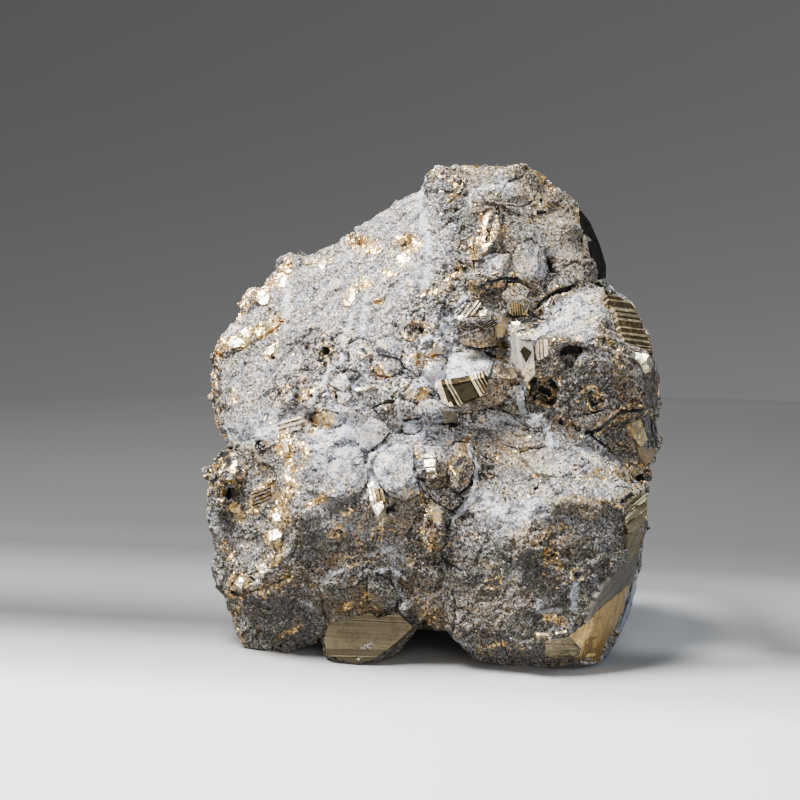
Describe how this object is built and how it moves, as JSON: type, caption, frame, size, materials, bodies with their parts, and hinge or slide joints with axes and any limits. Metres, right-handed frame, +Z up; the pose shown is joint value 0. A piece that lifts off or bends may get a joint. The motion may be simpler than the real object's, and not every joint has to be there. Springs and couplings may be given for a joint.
{
  "type": "pyrite cluster",
  "caption": "Hand-sized cluster of blocky intergrown pyrite crystals with growth ledges, pits and a rough crust, standing on its own flat feet.",
  "frame": {"origin": "on the surface that the cluster stands on, under the middle of its box", "axes": "+Z up; the best side, the one with the dark pitted crystals, faces -Y; +X is to its right"},
  "size_m": [0.08, 0.0652, 0.0847],
  "materials": {
    "pyrite": "brassy metallic crystal faces under a rough, speckled grey crust"
  },
  "bodies": {
    "root": {"pyrite_cluster": "pyrite"}
  },
  "joints": []
}
